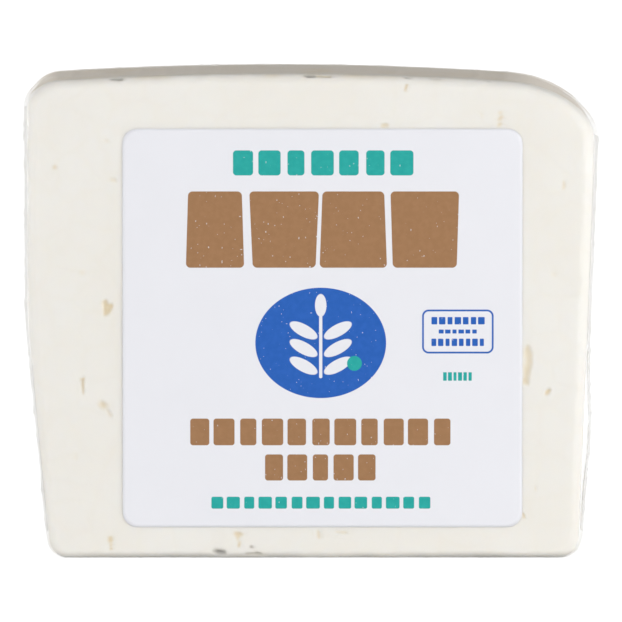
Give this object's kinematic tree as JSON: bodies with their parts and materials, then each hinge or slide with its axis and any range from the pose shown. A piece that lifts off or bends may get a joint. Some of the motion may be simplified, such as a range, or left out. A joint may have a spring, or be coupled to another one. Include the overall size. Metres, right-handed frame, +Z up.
{
  "type": "vacuum-packed feta block",
  "caption": "Block of white feta in a tight clear vacuum pack, standing on its long edge, with a square label on the front.",
  "frame": {"origin": "middle of the flat bottom on which the pack stands, under the middle of its box", "axes": "+X along the width, to the right seen from the front; the labelled front faces -Y; +Z up"},
  "size_m": [0.1011, 0.027, 0.0852],
  "materials": {
    "cheese": "moist, finely grained off-white curd with small pits, seen through the film",
    "film": "thin clear glossy shrink film with creases and folded end seals",
    "label": "smooth satin-coated white paper printed with plain colour fields"
  },
  "bodies": {
    "root": {"vacuum_pack": "cheese", "label": "label"}
  },
  "joints": []
}
